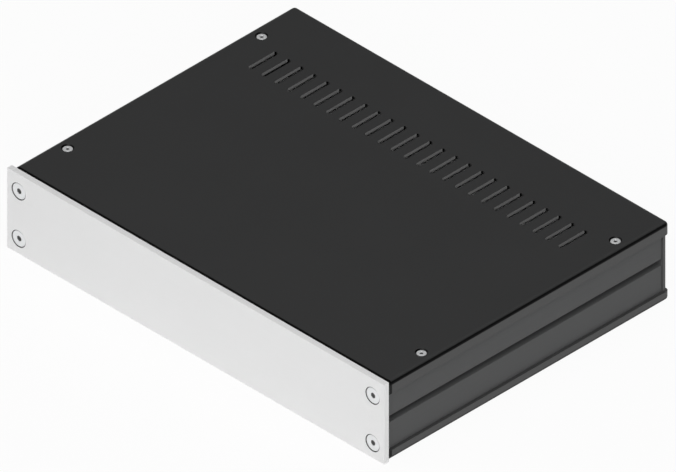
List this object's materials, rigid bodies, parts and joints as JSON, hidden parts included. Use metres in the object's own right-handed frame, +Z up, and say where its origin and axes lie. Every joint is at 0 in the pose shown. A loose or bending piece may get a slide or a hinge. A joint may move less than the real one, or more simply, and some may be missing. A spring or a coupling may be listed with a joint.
{
  "type": "metal instrument enclosure",
  "caption": "Flat empty metal case for electronics: folded black covers on grooved side profiles, a thicker silver front plate, a plain rear plate and a row of vent slots.",
  "frame": {"origin": "middle of the case in plan, on the underside of the bottom cover", "axes": "+X across the case to the right seen from the front, +Y from the front panel to the rear, +Z up"},
  "size_m": [0.23, 0.1748, 0.0422],
  "materials": {
    "front_plate": "fine brushed, clear anodised",
    "extruded_aluminium": "satin black anodised, fine extrusion lines",
    "rear_plate": "satin black anodised",
    "coated_sheet": "fine-textured black powder coat",
    "plated_screws": "bright plated"
  },
  "bodies": {
    "root": {"front_panel": "front_plate", "rear_panel": "rear_plate", "left_side_profile": "extruded_aluminium", "right_side_profile": "extruded_aluminium", "top_cover": "coated_sheet", "bottom_cover": "coated_sheet", "front_screw_top_left": "plated_screws", "front_screw_top_right": "plated_screws", "front_screw_bottom_left": "plated_screws", "front_screw_bottom_right": "plated_screws", "rear_screw_top_left": "plated_screws", "rear_screw_top_right": "plated_screws", "rear_screw_bottom_left": "plated_screws", "rear_screw_bottom_right": "plated_screws", "top_cover_screw_front_left": "plated_screws", "top_cover_screw_front_right": "plated_screws", "top_cover_screw_rear_left": "plated_screws", "top_cover_screw_rear_right": "plated_screws", "bottom_cover_screw_front_left": "plated_screws", "bottom_cover_screw_front_right": "plated_screws", "bottom_cover_screw_rear_left": "plated_screws", "bottom_cover_screw_rear_right": "plated_screws"}
  },
  "joints": []
}
